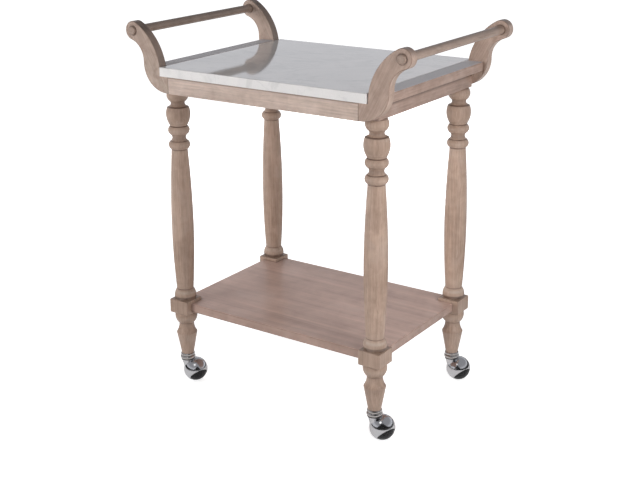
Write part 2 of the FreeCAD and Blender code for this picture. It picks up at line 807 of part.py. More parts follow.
def caster_hood(name, frame):
    """Thin ball shell with a flared neck and an axle boss, open towards the wheel and at the floor."""
    middle_z, radius = size["wheel_radius"], size["hood_radius"]
    low, high = size["neck_foot_radius"], size["neck_top_radius"]
    flare = low + (high - low) * FLARE_SHARE
    neck = doc.addObject("PartDesign::Body", f"{name}_neck")
    revolve(neck, outline(
        neck, f"{name}_neck_profile", "XZ_Plane", (0, middle_z), (low, middle_z),
        (flare, (middle_z + neck_top()) / 2, high, neck_top()), (0, neck_top())))
    outer = fuse(f"{name}_outer", [ball(f"{name}_ball", radius), neck])
    shell = cut(f"{name}_shell", outer, [ball(f"{name}_hollow", radius - size["hood_wall"])])
    boss_end = size["axle_boss_sink"] - radius
    boss = along_axle(rod(f"{name}_boss", size["axle_boss_radius"], boss_start() - boss_end), boss_end)
    whole = fuse(f"{name}_whole", [shell, boss])
    # The two openings are cut by drums that are wider than the ball
    drum = size["caster_trail"] + 2 * radius
    mouth = along_axle(rod(f"{name}_mouth", drum, radius), size["wheel_rim"] - size["parting_gap"])
    floor_cut = rod(f"{name}_floor_cut", drum, radius, (0, 0, size["hood_floor_gap"] - radius))
    axle_radius = size["axle_diameter"] / 2 + size["press_gap"]
    axle_bore = along_axle(rod(f"{name}_axle_bore", axle_radius, radius), axle_start())
    stem_radius = size["stem_diameter"] / 2 + size["press_gap"]
    stem_bore = rod(f"{name}_stem_bore", stem_radius, 2 * size["stem_sink"],
                    (0, 0, neck_top() - size["stem_sink"]))
    hood = cut(name, whole, [mouth, axle_bore, floor_cut, stem_bore])
    hood.Placement = frame
    node(hood, name)


def axle_start():
    """Blind end of the axle, within the boss."""
    return 2 * size["axle_boss_sink"] - size["hood_radius"]


def caster_axle(name, frame):
    """Pin that is fast in the hood's boss and carries the wheel."""
    end = size["wheel_radius"] - size["axle_cover"] - size["hub_gap"]
    pin = along_axle(rod(name, size["axle_diameter"] / 2, end - axle_start()), axle_start())
    pin.Placement = frame * pin.Placement
    node(pin, name)


def caster_wheel(name, frame):
    """Domed wheel: a ball's cap on a bored hub, turned about the axle."""
    body = doc.addObject("PartDesign::Body", name)
    dome, rim, hub = size["wheel_radius"], size["wheel_rim"], size["wheel_hub_radius"]
    bore = size["axle_diameter"] / 2 + size["fit_gap"]
    bore_end = dome - size["axle_cover"]
    rim_radius = (dome * dome - rim * rim).root()
    flank = halfway((0, 0), dome, (rim_radius, rim), (0, dome))
    hub_end = rim - size["wheel_hub_length"]
    profile = outline(
        body, f"{name}_profile", "XZ_Plane",
        (bore, hub_end),
        (hub, hub_end),
        (hub, rim),
        (rim_radius, rim),
        (*flank, 0, dome),
        (0, bore_end),
        (bore, bore_end),
    )
    revolve(body, profile)
    body.Placement = frame * axle_frame()
    node(body, name)


def caster(corner, side_x, side_y):
    frame = swivel_frame(side_x, side_y)
    caster_socket(f"{corner}_caster_socket", frame)
    caster_stem(f"{corner}_caster_stem", frame)
    caster_hood(f"{corner}_caster_hood", frame)
    caster_axle(f"{corner}_caster_axle", frame)
    caster_wheel(f"{corner}_caster_wheel", frame)


def build():
    plan_pins()
    marble_top()
    center_batten()
    for side, side_y in SIDES.items():
        rail(side, side_y)
    for end, side_x in ENDS.items():
        end_apron(end, side_x)
        end_board(end, side_x)
        handle_bar(end, side_x)
    scroll_arms()
    lower_shelf()
    leg_fixings()
    for corner, (side_x, side_y) in CORNERS.items():
        corner_block(corner, side_x, side_y)
        leg(corner, side_x, side_y)
        caster(corner, side_x, side_y)
    doc.recompute()


def check():
    """Stops before anything is written if an object failed or a shape is missing or broken."""
    for thing in doc.Objects:
        if "Invalid" in thing.State or "Error" in thing.State:
            raise RuntimeError(f"{thing.Name} failed: {thing.State}")
    for piece in nodes:
        if piece.Shape.isNull() or not piece.Shape.isValid() or not piece.Shape.Solids:
            raise RuntimeError(f"{piece.Label} has no sound shape")


def write():
    os.makedirs("parts", exist_ok=True)
    for piece in nodes:
        piece.Shape.exportStep(f"parts/{piece.Label}.step")


build()
check()
write()
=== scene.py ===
import math

import bpy
from mathutils import Matrix, Vector


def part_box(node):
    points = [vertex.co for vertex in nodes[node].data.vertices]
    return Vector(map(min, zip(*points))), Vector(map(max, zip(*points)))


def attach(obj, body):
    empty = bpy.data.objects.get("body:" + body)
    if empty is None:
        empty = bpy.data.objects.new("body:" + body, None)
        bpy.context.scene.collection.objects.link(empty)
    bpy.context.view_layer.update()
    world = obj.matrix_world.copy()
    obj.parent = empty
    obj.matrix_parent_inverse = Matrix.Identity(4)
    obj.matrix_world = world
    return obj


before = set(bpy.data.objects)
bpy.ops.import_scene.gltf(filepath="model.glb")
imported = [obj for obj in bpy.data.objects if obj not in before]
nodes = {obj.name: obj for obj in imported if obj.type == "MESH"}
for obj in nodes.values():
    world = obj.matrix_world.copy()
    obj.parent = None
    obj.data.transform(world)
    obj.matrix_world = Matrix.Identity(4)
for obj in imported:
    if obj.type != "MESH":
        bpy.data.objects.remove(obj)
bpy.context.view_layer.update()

# Places on the cart that the finishes and the small pieces refer to, in metres
LEG_X, LEG_Y = 0.25825, 0.1744
SEAM_X = 0.2435
BOARD_END, BOARD_SIDE = 0.301, 0.199
SCROLL_X, SCROLL_Z = 0.3395, 0.8332
BLOCK_X, BLOCK_Y = 0.2319, 0.14805
SHELF_MIDDLE, SHELF_HALF = 0.1925, 0.010
CORNERS = {
    "front_left": (-1, -1), "front_right": (1, -1), "back_left": (-1, 1), "back_right": (1, 1)}
# A narrow band about the cart's middle, from its left half to its right half
LEFT_HALF = -0.01, 0.01

# Colours of the finishes, in linear light
RAIL_WOOD = (0.548, 0.428, 0.367)
ARM_WOOD = (0.402, 0.29, 0.236)
LEG_WOOD = (0.432, 0.306, 0.238)
SHELF_WOOD = (0.515, 0.353, 0.299)
END_WOOD = (0.328, 0.228, 0.186)
BAR_WOOD = (0.31, 0.226, 0.182)
RUBBED, SHADED = (1.28, 1.28, 1.27), (0.73, 0.70, 0.67)
LIME_WHITE = (0.66, 0.57, 0.48)
ASH = (0.43, 0.375, 0.345)
# Dark glaze, also the colour of the painted shade and painted shadows on the wood
GLAZE_AND_SHADE = (0.13, 0.083, 0.06)
LEDGE_GREY = (0.66, 0.65, 0.67)
BARE_PALE = (0.60, 0.47, 0.33)
BARE_BROWN = (0.46, 0.34, 0.22)
MARBLE_WHITE = (0.795, 0.765, 0.745)
MARBLE_CLOUD = (0.74, 0.72, 0.705)
MARBLE_VEIN = (0.44, 0.435, 0.43)
CHROME = (0.60, 0.60, 0.615)
COLLAR = (0.52, 0.49, 0.47)
ZINC = (0.56, 0.56, 0.58)
WHEEL_BLACK = (0.014, 0.014, 0.015)


# Shader maths

class Value:
    """A number or a vector in a finish's node tree. Its operators add Math nodes."""

    def __init__(self, finish, socket):
        self.finish = finish
        self.socket = socket

    def math(self, operation, *terms):
        return self.finish.node(
            "ShaderNodeMath", {"operation": operation}, dict(enumerate(terms)))

    def __add__(self, other):
        return self.math("ADD", self, other)

    def __radd__(self, other):
        return self.math("ADD", other, self)

    def __sub__(self, other):
        return self.math("SUBTRACT", self, other)

    def __rsub__(self, other):
        return self.math("SUBTRACT", other, self)

    def __mul__(self, other):
        return self.math("MULTIPLY", self, other)

    def __rmul__(self, other):
        return self.math("MULTIPLY", other, self)

    def __truediv__(self, other):
        return self.math("DIVIDE", self, other)

    def __abs__(self):
        return self.math("ABSOLUTE", self)

    def root(self):
        return self.math("SQRT", self)

    def sign(self):
        return self.math("SIGN", self)

    def fraction(self):
        return self.math("FRACT", self)

    def larger(self, other):
        return self.math("MAXIMUM", self, other)

    def held(self):
        """The value kept from 0 to 1."""
        return self.math("MINIMUM", self.larger(0.0), 1.0)

    def rise(self, low, high):
        """Smooth step from 0 at low to 1 at high."""
        return self.finish.node("ShaderNodeMapRange", {"interpolation_type": "SMOOTHSTEP"},
                                {"Value": self, "From Min": low, "From Max": high})

    def fall(self, low, high):
        """Smooth step from 1 at low to 0 at high."""
        return 1 - self.rise(low, high)


def length(*parts):
    """Length of a vector given by its parts."""
    return sum(part * part for part in parts).root()


class Finish:
    """The node tree of one material, or of the world. Every node in it comes from node()."""

    def __init__(self, owner):
        owner.use_nodes = True
        self.owner = owner
        self.tree = owner.node_tree
        self.tree.nodes.clear()

    @classmethod
    def named(cls, name):
        return cls(bpy.data.materials.new(name))

    def node(self, kind, settings=None, inputs=None, output=0):
        """A node of one type: its settings, the values or links of its sockets, and the output
        wanted."""
        made = self.tree.nodes.new(kind)
        for name, setting in (settings or {}).items():
            setattr(made, name, setting)
        for name, amount in (inputs or {}).items():
            if isinstance(amount, Value):
                self.tree.links.new(amount.socket, made.inputs[name])
            else:
                made.inputs[name].default_value = amount
        return Value(self, made.outputs[output])

    def parts(self, vector):
        """The three parts of a vector."""
        return [self.node("ShaderNodeSeparateXYZ", inputs={0: vector}, output=axis)
                for axis in range(3)]

    def place(self):
        """The three object coordinates of a point on the surface."""
        return self.parts(self.node("ShaderNodeTexCoord", output="Object"))

    def facing(self):
        """The three parts of the surface's normal."""
        return self.parts(self.node("ShaderNodeNewGeometry", output="Normal"))

    def noise(self, point, detail=3.0, roughness=0.55, distortion=0.0):
        """Noise of unit size at a point given by its three scaled coordinates."""
        where = self.node("ShaderNodeCombineXYZ", inputs=dict(enumerate(point)))
        return self.node("ShaderNodeTexNoise", inputs={
            "Vector": where, "Scale": 1.0, "Detail": detail, "Roughness": roughness,
            "Distortion": distortion})

    def specks(self, place, waves, **kind):
        """Noise with so many waves a metre, alike in all directions."""
        return self.noise([part * waves for part in place], **kind)

    def mix(self, share, first, second):
        """Colour between two colours."""
        ends = {6: first, 7: second}
        colours = {name: end if isinstance(end, Value) else (*end, 1.0)
                   for name, end in ends.items()}
        return self.node("ShaderNodeMix", {"data_type": "RGBA"}, {0: share, **colours}, output=2)

    def bump(self, height, depth, strength):
        return self.node("ShaderNodeBump", inputs={
            "Height": height, "Distance": depth, "Strength": strength})

    def surface(self, **sockets):
        """Principled surface. A socket's name has underscores for its spaces."""
        inputs = {name.replace("_", " "): amount for name, amount in sockets.items()}
        shader = self.node("ShaderNodeBsdfPrincipled", inputs=inputs)
        self.close("ShaderNodeOutputMaterial", shader)
        return self.owner

    def close(self, kind, shader):
        end = self.tree.nodes.new(kind)
        self.tree.links.new(shader.socket, end.inputs["Surface"])


# Wood

# Noise in wood: waves a metre along the grain and across it
SWAY_WAVES, FIGURE_WAVES, FIBRE_WAVES = (3.0, 9.0), (4.0, 34.0), (11.0, 260.0)
PORE_WAVES, STREAK_WAVES = (48.0, 1150.0), (22.0, 380.0)
# Year rings: how far the pith lies from the middle of the part, their gap and their sway
PITH_DEPTH, RING_GAP, RING_SWAY = 0.07, 0.0062, 0.02


def grain(finish, along, across, depth):
    """Figure, rings, fibres, pores and streaks of a board, from metres along and across its grain,
    each from 0 to 1."""
    def waves(stretch, **kind):
        lengthwise, crosswise = stretch
        point = along * lengthwise, across * crosswise, depth * crosswise
        return finish.noise(point, **kind)

    sway = waves(SWAY_WAVES, detail=2)
    figure = waves(FIGURE_WAVES, distortion=0.4)
    pith = (length(across, depth + PITH_DEPTH) + sway * RING_SWAY) / RING_GAP
    rings = pith.fraction().rise(0.35, 1.0)
    fibres = waves(FIBRE_WAVES, detail=4, roughness=0.65)
    pores = waves(PORE_WAVES, detail=2)
    streaks = waves(STREAK_WAVES, roughness=0.6)
    return figure, rings, fibres, pores, streaks


# Waves a metre of the clouds and blots in limed wood
CLOUD_WAVES, BLOT_WAVES = 13.0, 46.0
# How much the figure, the fibres and the rings change its tone, and what calm takes off the figure
FIGURE_TONE, FIGURE_CALM, FIBRE_TONE, RING_TONE = 1.5, 0.6, 1.5, 0.08
# Shares of white lime, of ash and of dark glaze in its pores, streaks and clouds
PORE_LIME, STREAK_LIME, CLOUD_ASH, PORE_GLAZE, STREAK_GLAZE = 0.14, 0.34, 0.16, 0.16, 0.46
# Share of the mask of glaze and painted shade that is always there, and what the blots add to it
DARK_EVEN, DARK_BLOTS = 0.15, 1.7
# Satin lacquer: its least roughness, what fibres and lime add to it, and its coat
SATIN, SATIN_FIBRES, SATIN_LIME, COAT, COAT_ROUGHNESS = 0.36, 0.16, 0.5, 0.22, 0.16
# Grey tops: share of the grey, and what it adds to the roughness
LEDGE_SHARE, LEDGE_DULLNESS = 0.9, 0.15
# Relief of the grain: shares of the fibres and the pores, and its depth and strength
FIBRE_RELIEF, PORE_RELIEF, LIMED_RELIEF, BARE_RELIEF = 0.6, 0.4, (0.0003, 0.4), (0.0004, 0.6)
# Bare wood: what figure and fibres add to its tone, what rings and streaks take off it, its least
# roughness and what fibres add to that
BARE_FIGURE, BARE_FIBRES, BARE_RINGS, BARE_STREAKS = 0.5, 0.5, 0.2, 0.3
BARE_ROUGHNESS, BARE_FUZZ = 0.62, 0.2


def limed_wood(name, along, wood, glaze_and_shade=None, grey=None, pale_wear_and_light=None, calm=1.0):
    """Wood under a rubbed lime finish and a satin lacquer. The grain's direction is a function of
    the place. Masks are functions too: where it is darker, from glaze and from painted shade,
    where a top is grey and dull, and where it is paler, from rubbing and from painted light. Calm
    wood, below 1, has fainter streaks and blots and a broader figure."""
    finish = Finish.named(name)
    place, facing = finish.place(), finish.facing()
    figure, rings, fibres, pores, streaks = grain(finish, *along(*place))
    clouds = finish.specks(place, CLOUD_WAVES, distortion=0.6)
    blots = finish.specks(place, BLOT_WAVES, distortion=0.4)
    tone = clouds + (blots - 0.5) * calm + (figure - 0.5) * (FIGURE_TONE - calm * FIGURE_CALM)
    tone = tone + (fibres - 0.5) * (FIBRE_TONE * calm) - rings * RING_TONE
    rubbed = tuple(part * share for part, share in zip(wood, RUBBED))
    shaded = tuple(part * share for part, share in zip(wood, SHADED))
    colour = finish.mix(tone.held(), shaded, rubbed)
    pale_streaks = streaks.fall(0.27, 0.42) * blots.fall(0.4, 0.6) * (STREAK_LIME * calm)
    lime_and_light = (pores.rise(0.58, 0.72) * PORE_LIME).larger(pale_streaks)
    # Pale rubbed wear, and painted light and highlights, from the mask given, mixed in as lime
    if pale_wear_and_light:
        lime_and_light = lime_and_light.larger(pale_wear_and_light(place) * blots.rise(0.3, 0.6))
    colour = finish.mix(clouds.rise(0.52, 0.72) * CLOUD_ASH, colour, ASH)
    colour = finish.mix(lime_and_light, colour, LIME_WHITE)
    dark_streaks = streaks.rise(0.58, 0.72) * blots.rise(0.40, 0.58) * (STREAK_GLAZE * calm)
    dark = (pores.fall(0.28, 0.40) * PORE_GLAZE).larger(dark_streaks)
    # Glaze and painted shade from the mask given, in the glaze's colour
    if glaze_and_shade:
        dark = dark.larger(glaze_and_shade(place, facing) * (DARK_EVEN + blots * DARK_BLOTS)).held()
    colour = finish.mix(dark, colour, GLAZE_AND_SHADE)
    roughness, coat = SATIN + fibres * SATIN_FIBRES + lime_and_light * SATIN_LIME, COAT
    if grey:
        share = grey(place, facing)
        colour = finish.mix(share * LEDGE_SHARE, colour, LEDGE_GREY)
        roughness, coat = roughness + share * LEDGE_DULLNESS, coat * (1 - share)
    return finish.surface(
        Base_Color=colour,
        Roughness=roughness,
        Normal=finish.bump(fibres * FIBRE_RELIEF + pores * PORE_RELIEF, *LIMED_RELIEF),
        Coat_Weight=coat,
        Coat_Roughness=COAT_ROUGHNESS,
    )


def bare_wood(name, along):
    """Unfinished wood inside the frame."""
    finish = Finish.named(name)
    figure, rings, fibres, pores, streaks = grain(finish, *along(*finish.place()))
    tone = figure.rise(0.3, 0.7) * BARE_FIGURE + fibres.rise(0.3, 0.7) * BARE_FIBRES
    tone = tone - rings * BARE_RINGS - streaks.rise(0.60, 0.74) * BARE_STREAKS
    return finish.surface(
        Base_Color=finish.mix(tone.held(), BARE_BROWN, BARE_PALE),
        Roughness=BARE_ROUGHNESS + fibres * BARE_FUZZ,
        Normal=finish.bump(fibres * FIBRE_RELIEF + pores * PORE_RELIEF, *BARE_RELIEF),
    )


# Directions of the grain: the shelf's is stretched, so that its figure is long and quiet
SHELF_STRETCH = 0.35
# Lean of an arm's grain from level, and how far apart the planks of the arms lie in the noise
ARM_LEAN = math.radians(62)
PLANK_X, PLANK_Y = 3.1, 1.7


def along_length(x, y, z):
    return x, y, z


def along_shelf(x, y, z):
    return x * SHELF_STRETCH, y, z


def along_width(x, y, z):
    return y, x, z


def upright(x, y, z):
    return z, x, y


def along_arm(x, y, z):
    """Up and outwards along a scrolled arm, with another plank for each arm."""
    out = abs(x)
    plank = x.sign() * PLANK_X + y.sign() * PLANK_Y
    return (out * math.cos(ARM_LEAN) + z * math.sin(ARM_LEAN) + plank,
            z * math.cos(ARM_LEAN) - out * math.sin(ARM_LEAN) + plank, y)


# Quirks of a turned leg painted dark, as glaze that stays there and as painted shade in the
# grooves: height, half width and strength
QUIRKS = (
    (0.7015, 0.0020, 0.70), (0.6785, 0.0018, 0.60), (0.6652, 0.0024, 0.90), (0.6275, 0.0015, 0.40),
    (0.6215, 0.0021, 0.90), (0.6020, 0.0017, 0.50), (0.5872, 0.0020, 0.80), (0.5675, 0.0022, 0.90),
    (0.2350, 0.0021, 0.75), (0.2090, 0.0012, 0.42), (0.1758, 0.0017, 0.55), (0.1485, 0.0020, 0.75),
)
# Crests of a turned leg painted pale, as rubbed wear, and on the ring over the block as a painted
# highlight: height, half width and strength
CRESTS = (
    (0.6905, 0.005, 0.10), (0.6120, 0.004, 0.12), (0.5780, 0.004, 0.12), (0.2275, 0.006, 0.42),
    (0.1625, 0.006, 0.14),
)
# Limits of other dark marks on a leg, in metres: the heights of the beads over and under the
# column, which are darker, the radius of the coves, where shade is painted, and the height they
# start at, the arrises of the block from its middle, and the recess above the block, where a
# shadow is painted
BEADS_OVER, BEADS_UNDER = (0.55, 0.57), (0.235, 0.25)
COVE_RADIUS, COVE_START = (0.0152, 0.0192), (0.128, 0.142)
BLOCK_ARRIS = 0.0240, 0.0258
RECESS_LOW, RECESS_HIGH = (0.2092, 0.2102), (0.2150, 0.2200)
# Their strengths, and that of the painted shade that darkens the left legs
BEAD_DARKENING, COVE_SHADE, LEFT_LEG_SHADE, ARRIS_GLAZE, RECESS_SHADOW = 0.15, 0.5, 0.09, 0.4, 0.9


def turning_glaze_and_shade(place, facing):
    """Darker places on a turned leg: painted shade in the coves, glaze and painted shade in the
    quirks, a painted shadow in the recess over the block, darker beads over and under the column,
    glaze on the block's arrises, and painted shade over the left legs.
    """
    x, y, z = place
    out_x, out_y = abs(x) - LEG_X, abs(y) - LEG_Y
    beads = z.rise(*BEADS_OVER).larger(z.fall(*BEADS_UNDER))
    # Painted shade in the coves, where the leg is narrow
    coves = length(out_x, out_y).fall(*COVE_RADIUS) * z.rise(*COVE_START)
    arrises = abs(out_x).rise(*BLOCK_ARRIS) * abs(out_y).rise(*BLOCK_ARRIS)
    # Painted shadow in the recess over the block
    recess = z.rise(*RECESS_LOW) * z.fall(*RECESS_HIGH)
    dark = (beads * BEAD_DARKENING).larger(coves * COVE_SHADE)
    # Painted shade over the whole of the left legs
    dark = dark.larger(x.fall(*LEFT_HALF) * LEFT_LEG_SHADE)
    dark = dark.larger(arrises * ARRIS_GLAZE).larger(recess * RECESS_SHADOW)
    # Glaze and painted shade in the quirks
    for height, half, strength in QUIRKS:
        dark = dark.larger(abs(z - height).fall(0.0, half) * strength)
    return dark


def turning_wear_and_highlight(place):
    """Pale crests of the beads: rubbed wear, and a painted highlight on the ring over the block.
    """
    pale = 0.0
    for height, half, strength in CRESTS:
        pale = (abs(place[2] - height).fall(0.0, half) * strength).larger(pale)
    return pale


# Glaze in the rails' joints, painted shadow under the slab along the rails' top edge, and painted
# shadow under the end board on the aprons: their limits, in metres, and strengths
JOINT_HALF, JOINT_GLAZE = (0.0004, 0.0014), 0.75
RAIL_TOP, RAIL_SHADOW = (0.7345, 0.7392), 0.75
APRON_TOP, APRON_SHADOW = (0.7215, 0.7305), 0.85


def joint_line(place):
    """Glaze left in the joint between a rail and an arm."""
    return abs(abs(place[0]) - SEAM_X).fall(*JOINT_HALF) * JOINT_GLAZE


def rail_joint_and_shadow(place, facing):
    """Darker places on a rail: glaze in its joints, and a painted shadow along its top edge under
    the slab.
    """
    # Painted shadow under the slab's front edge
    return joint_line(place).larger(place[2].rise(*RAIL_TOP) * RAIL_SHADOW)


def apron_shadow(place, facing):
    """Painted shadow on an apron, darkest at its top under the end board."""
    return place[2].rise(*APRON_TOP) * APRON_SHADOW


# Dark marks on an arm, by distance from the eye of its scroll, in metres: on the inner sawn edge,
# which is darker end grain with painted shade, and on the arrises, glaze, they grow towards the
# eye, and round the bar's end a painted shadow makes a dark ring in a faint one
EDGE_NEAR, ARRIS_NEAR = (0.022, 0.055), (0.024, 0.034)
EYE_RING, EYE_SHADE = (0.0105, 0.0140), (0.016, 0.032)
# Strengths of the inner sawn edge, what it gains near the eye, and the crown's painted shade
EDGE_GRAIN_AND_SHADE, EDGE_MORE, CROWN_SHADE = 0.55, 0.3, 0.55
ARM_ARRIS_GLAZE, ARM_ARRIS_MORE = 0.36, 0.28
# Strengths of the painted shadow round the bar's end: the dark ring and the faint one
EYE_RING_SHADOW, EYE_FAINT_SHADE = 0.75, 0.10
# Painted shadow in the corner between an arm and the end board, in metres: its soft start, its
# width, what it fades over, and its top; and its strength
CORNER_EDGE, CORNER_WIDTH, CORNER_FADE, CORNER_TOP = 0.001, 0.002, 0.006, (0.757, 0.764)
CORNER_SHADOW = 0.7
# Painted light that makes the left arms paler: its share of lime, and what is added below these
# heights, towards the heel
LEFT_ARM_LIGHT, PALE_HEEL, HEEL_TOP = 0.14, 0.12, (0.74, 0.80)


def arm_glaze_and_shade(place, facing):
    """Darker places on an arm: its inner sawn edge, darker end grain with painted shade; the
    scroll's crown, painted shade with darker end grain; painted shadow round the eye; glaze on the
    arrises and in the joint; and a painted shadow in the corner by the end board."""
    x, y, z = place
    out, across = abs(x), abs(facing[1])
    spread = length(out - SCROLL_X, z - SCROLL_Z)
    sawn = across.fall(0.5, 0.8)
    # Inner sawn edge: darker end grain with painted shade
    inner = sawn * (facing[0] * x.sign()).fall(-0.45, -0.05)
    inner = inner * (EDGE_GRAIN_AND_SHADE + spread.fall(*EDGE_NEAR) * EDGE_MORE)
    # Scroll's crown: painted shade on the upward sawn faces, with darker end grain
    crown = sawn * facing[2].rise(0.2, 0.75) * CROWN_SHADE
    arris = across.rise(0.15, 0.4) * across.fall(0.86, 0.97)
    arris = arris * (ARM_ARRIS_GLAZE + spread.fall(*ARRIS_NEAR) * ARM_ARRIS_MORE)
    # Painted shadow round the bar's end
    eye = (spread.fall(*EYE_RING) * EYE_RING_SHADOW).larger(spread.fall(*EYE_SHADE) * EYE_FAINT_SHADE)
    # Painted shadow in the corner beside the end board
    faded = BOARD_END + CORNER_WIDTH
    corner = out.rise(BOARD_END - CORNER_EDGE, BOARD_END) * out.fall(faded, faded + CORNER_FADE)
    corner = corner * z.fall(*CORNER_TOP) * abs(y).fall(BOARD_SIDE, BOARD_SIDE + CORNER_EDGE)
    dark = inner.larger(crown).larger(arris).larger(eye).larger(corner * CORNER_SHADOW)
    return dark.larger(joint_line(place))


def arm_painted_light(place):
    """Painted light: the left arms paler, more so towards the heel."""
    left, heel = place[0].fall(*LEFT_HALF), place[2].fall(*HEEL_TOP)
    return left * (LEFT_ARM_LIGHT + heel * PALE_HEEL)


# Glaze on the shelf's sides and painted shade round the leg blocks: strengths on its sides, what
# their arrises add, and round the blocks. Limits, in metres: the arrises from the shelf's faces,
# and the gap to a block
SIDE_GLAZE, SIDE_ARRIS, BLOCK_SHADE = 0.30, 0.3, 0.5
SHELF_ARRIS, BLOCK_GAP = (0.0035, 0.0005), (0.0005, 0.007)
# Strength of the painted shade on the upper side of a handle bar
BAR_TOP_SHADE = 0.22


def shelf_glaze_and_shade(place, facing):
    """Darker places on the shelf: glaze on its sides and their arrises, and painted shade round
    the leg blocks.
    """
    x, y, z = place
    side = abs(facing[2]).fall(0.3, 0.7)
    low, high = (SHELF_HALF - inset for inset in SHELF_ARRIS)
    arris = abs(z - SHELF_MIDDLE).rise(low, high)
    gap = (BLOCK_X - abs(x)).larger(BLOCK_Y - abs(y))
    # Painted shade round the leg blocks
    return (side * (SIDE_GLAZE + arris * SIDE_ARRIS)).larger(gap.fall(*BLOCK_GAP) * BLOCK_SHADE)


def bar_top_shade(place, facing):
    """Painted shade that darkens the top of a handle bar."""
    return facing[2].rise(-0.1, 0.9) * BAR_TOP_SHADE


def ledge_top(place, facing):
    """Top of an end board."""
    return facing[2].rise(0.6, 0.9)


# Stone, metal and the black wheels

# Marble: waves a metre of its clouds and crystals, and their shares of its colour
MARBLE_CLOUD_WAVES, CRYSTAL_WAVES, CLOUD_SHARE, CRYSTAL_SHARE = 9.0, 420.0, 0.7, 0.10
# Broad and thin veins: the level of the noise they follow, half their width in it, and strength
BROAD_VEINS, THIN_VEINS = (0.5, 0.05, 0.30), (0.52, 0.016, 0.2)
# Polish: its least roughness, and what veins and crystals add to it
POLISH, POLISH_VEINS, POLISH_CRYSTALS = 0.035, 0.08, 0.03
# Waves a metre: smears on chrome, marks drawn on zinc, scuffs and dust on a wheel
SMEAR_WAVES, DRAWN_ROUND, DRAWN_ALONG, SCUFF_WAVES, DUST_WAVES = 70.0, 900.0, 120.0, 260.0, 45.0
# Share of zinc in a smear and of dust on a wheel, and roughness: what smears add to chrome's, and
# the least and what marks and scuffs add for zinc and for a wheel
SMEAR_SHARE, DUST_SHARE, SMEAR_DULLNESS = 0.3, 0.05, 0.09
ZINC_ROUGHNESS, MARK_ROUGHNESS, WHEEL_ROUGHNESS, SCUFF_ROUGHNESS = 0.3, 0.2, 0.24, 0.22
# Relief of the crystals and the scuffs: depth and strength
CRYSTAL_RELIEF, SCUFF_RELIEF = (0.00002, 0.3), (0.00008, 0.4)


def vein(noise, level, half, strength):
    """Line along one level of a noise."""
    return abs(noise - level).fall(0.0, half) * strength


def polished_marble():
    """White marble with clouds and a few thin grey veins, polished."""
    finish = Finish.named("polished_marble")
    place = x, y, z = finish.place()
    clouds = finish.specks(place, MARBLE_CLOUD_WAVES, detail=5, distortion=0.6)
    drift = finish.noise((x * 3.2 + y * 2.0, y * 5.5 - x * 2.6, z * 4.0),
                         detail=7, roughness=0.6, distortion=1.1)
    threads = finish.noise((x * 7.0 + 4.0, y * 9.0 + 2.0, z * 7.0), detail=6, distortion=0.9)
    veins = vein(drift, *BROAD_VEINS).larger(vein(threads, *THIN_VEINS)) * clouds.rise(0.34, 0.66)
    crystals = finish.specks(place, CRYSTAL_WAVES, detail=2)
    colour = finish.mix(clouds.rise(0.35, 0.72) * CLOUD_SHARE, MARBLE_WHITE, MARBLE_CLOUD)
    colour = finish.mix(crystals.rise(0.45, 0.75) * CRYSTAL_SHARE, colour, MARBLE_VEIN)
    colour = finish.mix(veins, colour, MARBLE_VEIN)
    return finish.surface(
        Base_Color=colour,
        Roughness=POLISH + veins * POLISH_VEINS + crystals * POLISH_CRYSTALS,
        Normal=finish.bump(crystals, *CRYSTAL_RELIEF),
    )


def chrome_plate(name, plate, dullness):
    """Bright plate with faint smears."""
    finish = Finish.named(name)
    smears = finish.specks(finish.place(), SMEAR_WAVES, detail=4, distortion=0.8)
    return finish.surface(
        Base_Color=finish.mix(smears.rise(0.4, 0.75) * SMEAR_SHARE, plate, ZINC),
        Roughness=dullness + smears.rise(0.45, 0.8) * SMEAR_DULLNESS,
        Metallic=1.0,
    )


def zinc_plate():
    """Bright steel with drawn marks."""
    finish = Finish.named("zinc_plate")
    x, y, z = finish.place()
    marks = finish.noise((x * DRAWN_ROUND, y * DRAWN_ROUND, z * DRAWN_ALONG))
    return finish.surface(
        Base_Color=finish.mix(marks.rise(0.3, 0.7) * 0.4, ZINC, CHROME),
        Roughness=ZINC_ROUGHNESS + marks * MARK_ROUGHNESS,
        Metallic=1.0,
    )


def black_tread():
    """Hard black wheel with a little dust and fine scuffs."""
    finish = Finish.named("black_tread")
    place = finish.place()
    scuffs = finish.specks(place, SCUFF_WAVES, detail=5)
    dust = finish.specks(place, DUST_WAVES)
    return finish.surface(
        Base_Color=finish.mix(dust.rise(0.5, 0.8) * DUST_SHARE, WHEEL_BLACK, ZINC),
        Roughness=WHEEL_ROUGHNESS + scuffs.rise(0.4, 0.8) * SCUFF_ROUGHNESS,
        Normal=finish.bump(scuffs, *SCUFF_RELIEF),
        Specular_IOR_Level=0.25,
    )


# How calm the shelf's wood is, and the least roughness of the casters' chrome
SHELF_CALM = 0.35
HOOD_DULLNESS, COLLAR_DULLNESS = 0.16, 0.13


